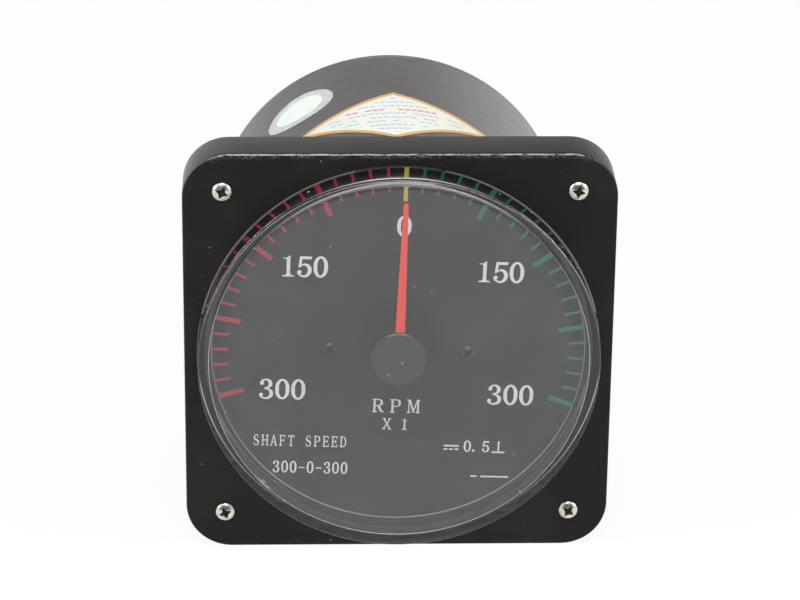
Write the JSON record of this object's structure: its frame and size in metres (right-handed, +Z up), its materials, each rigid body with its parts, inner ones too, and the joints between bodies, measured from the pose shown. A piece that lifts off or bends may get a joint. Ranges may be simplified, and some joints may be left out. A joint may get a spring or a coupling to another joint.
{
  "type": "panel shaft speed indicator",
  "caption": "Square-fronted panel indicator with a clear cup window, centre-zero dial, red pointer and a long round case behind.",
  "frame": {"origin": "on the axis of the case, in the plane where the front frame meets the panel, at the middle of the four corner screws", "axes": "+X right seen from the front, +Y back through the case, +Z up; the dial faces -Y"},
  "size_m": [0.12, 0.1278, 0.12],
  "materials": {
    "frame_black": "satin moulded plastic",
    "clear_window": "clear moulded, polished",
    "black_rubber": "plain",
    "nickel_screw": "nickel plated",
    "case_black": "moulded",
    "can_black": "satin black paint",
    "label_card": "cream field with a gold border",
    "sticker_foil": "silver ring round a pale green field",
    "dial_black": "matt black paint",
    "mark_red": "printed ink",
    "mark_green": "printed ink",
    "mark_yellow": "printed ink",
    "screw_black": "blackened steel",
    "pointer_red": "fluorescent red paint",
    "cap_black": "moulded",
    "brass": "turned",
    "steel": "machined",
    "zinc_screw": "zinc plated",
    "aluminium": "machined",
    "copper_wire": "enamelled wire",
    "bronze_spring": "rolled strip",
    "soft_iron": "ground",
    "magnet": "ground",
    "board_green": "solder mask",
    "chip_black": "moulded",
    "capacitor_sleeve": "shrink sleeve",
    "connector_cream": "moulded",
    "wire_red": "insulated",
    "terminal_black": "moulded"
  },
  "bodies": {
    "case": {"front_frame": "frame_black", "window": "clear_window", "window_seal": "black_rubber", "corner_screws": "nickel_screw", "case_flange": "case_black", "flange_screws": "zinc_screw", "panel_gasket": "black_rubber", "case_can": "can_black", "rear_cover": "can_black", "cover_screws": "zinc_screw", "rating_label": "label_card", "round_sticker": "sticker_foil", "dial_plate": "dial_black", "left_marks": "mark_red", "right_marks": "mark_green", "zero_mark": "mark_yellow", "dial_screws": "screw_black", "dial_pillars": "brass", "front_hairspring": "bronze_spring", "rear_hairspring": "bronze_spring", "spring_posts": "brass", "end_stops": "steel", "movement_plate": "aluminium", "plate_screws": "zinc_screw", "front_bearing": "brass", "rear_bearing": "brass", "bearing_nuts": "brass", "rear_bridge": "aluminium", "bridge_posts": "steel", "bridge_screws": "zinc_screw", "core_ring": "soft_iron", "core_foot": "soft_iron", "magnets": "magnet", "outer_pole": "soft_iron", "pole_spacers": "aluminium", "pole_screws": "zinc_screw", "circuit_board": "board_green", "board_pillars": "steel", "cover_pillars": "steel", "control_chips": "chip_black", "capacitors": "capacitor_sleeve", "board_connector": "connector_cream", "supply_wires": "wire_red", "terminal_plate": "terminal_black", "terminal_studs": "brass", "terminal_washers": "zinc_screw", "terminal_nuts": "brass"},
    "moving_system": {"pointer": "pointer_red", "pointer_hub": "brass", "hub_cap": "cap_black", "balance_arms": "brass", "counterweights": "brass", "spindle": "steel", "coil_former": "aluminium", "coil_winding": "copper_wire", "spring_collets": "brass"}
  },
  "joints": [
    {"name": "pointer_turn", "type": "hinge", "parent": "case", "child": "moving_system", "pos_m": [0, 0, 0], "axis": [0, 1, 0], "range_deg": [-110, 110], "stiffness_Nm_per_rad": 0.0004, "deforming": ["front_hairspring", "rear_hairspring"]}
  ]
}
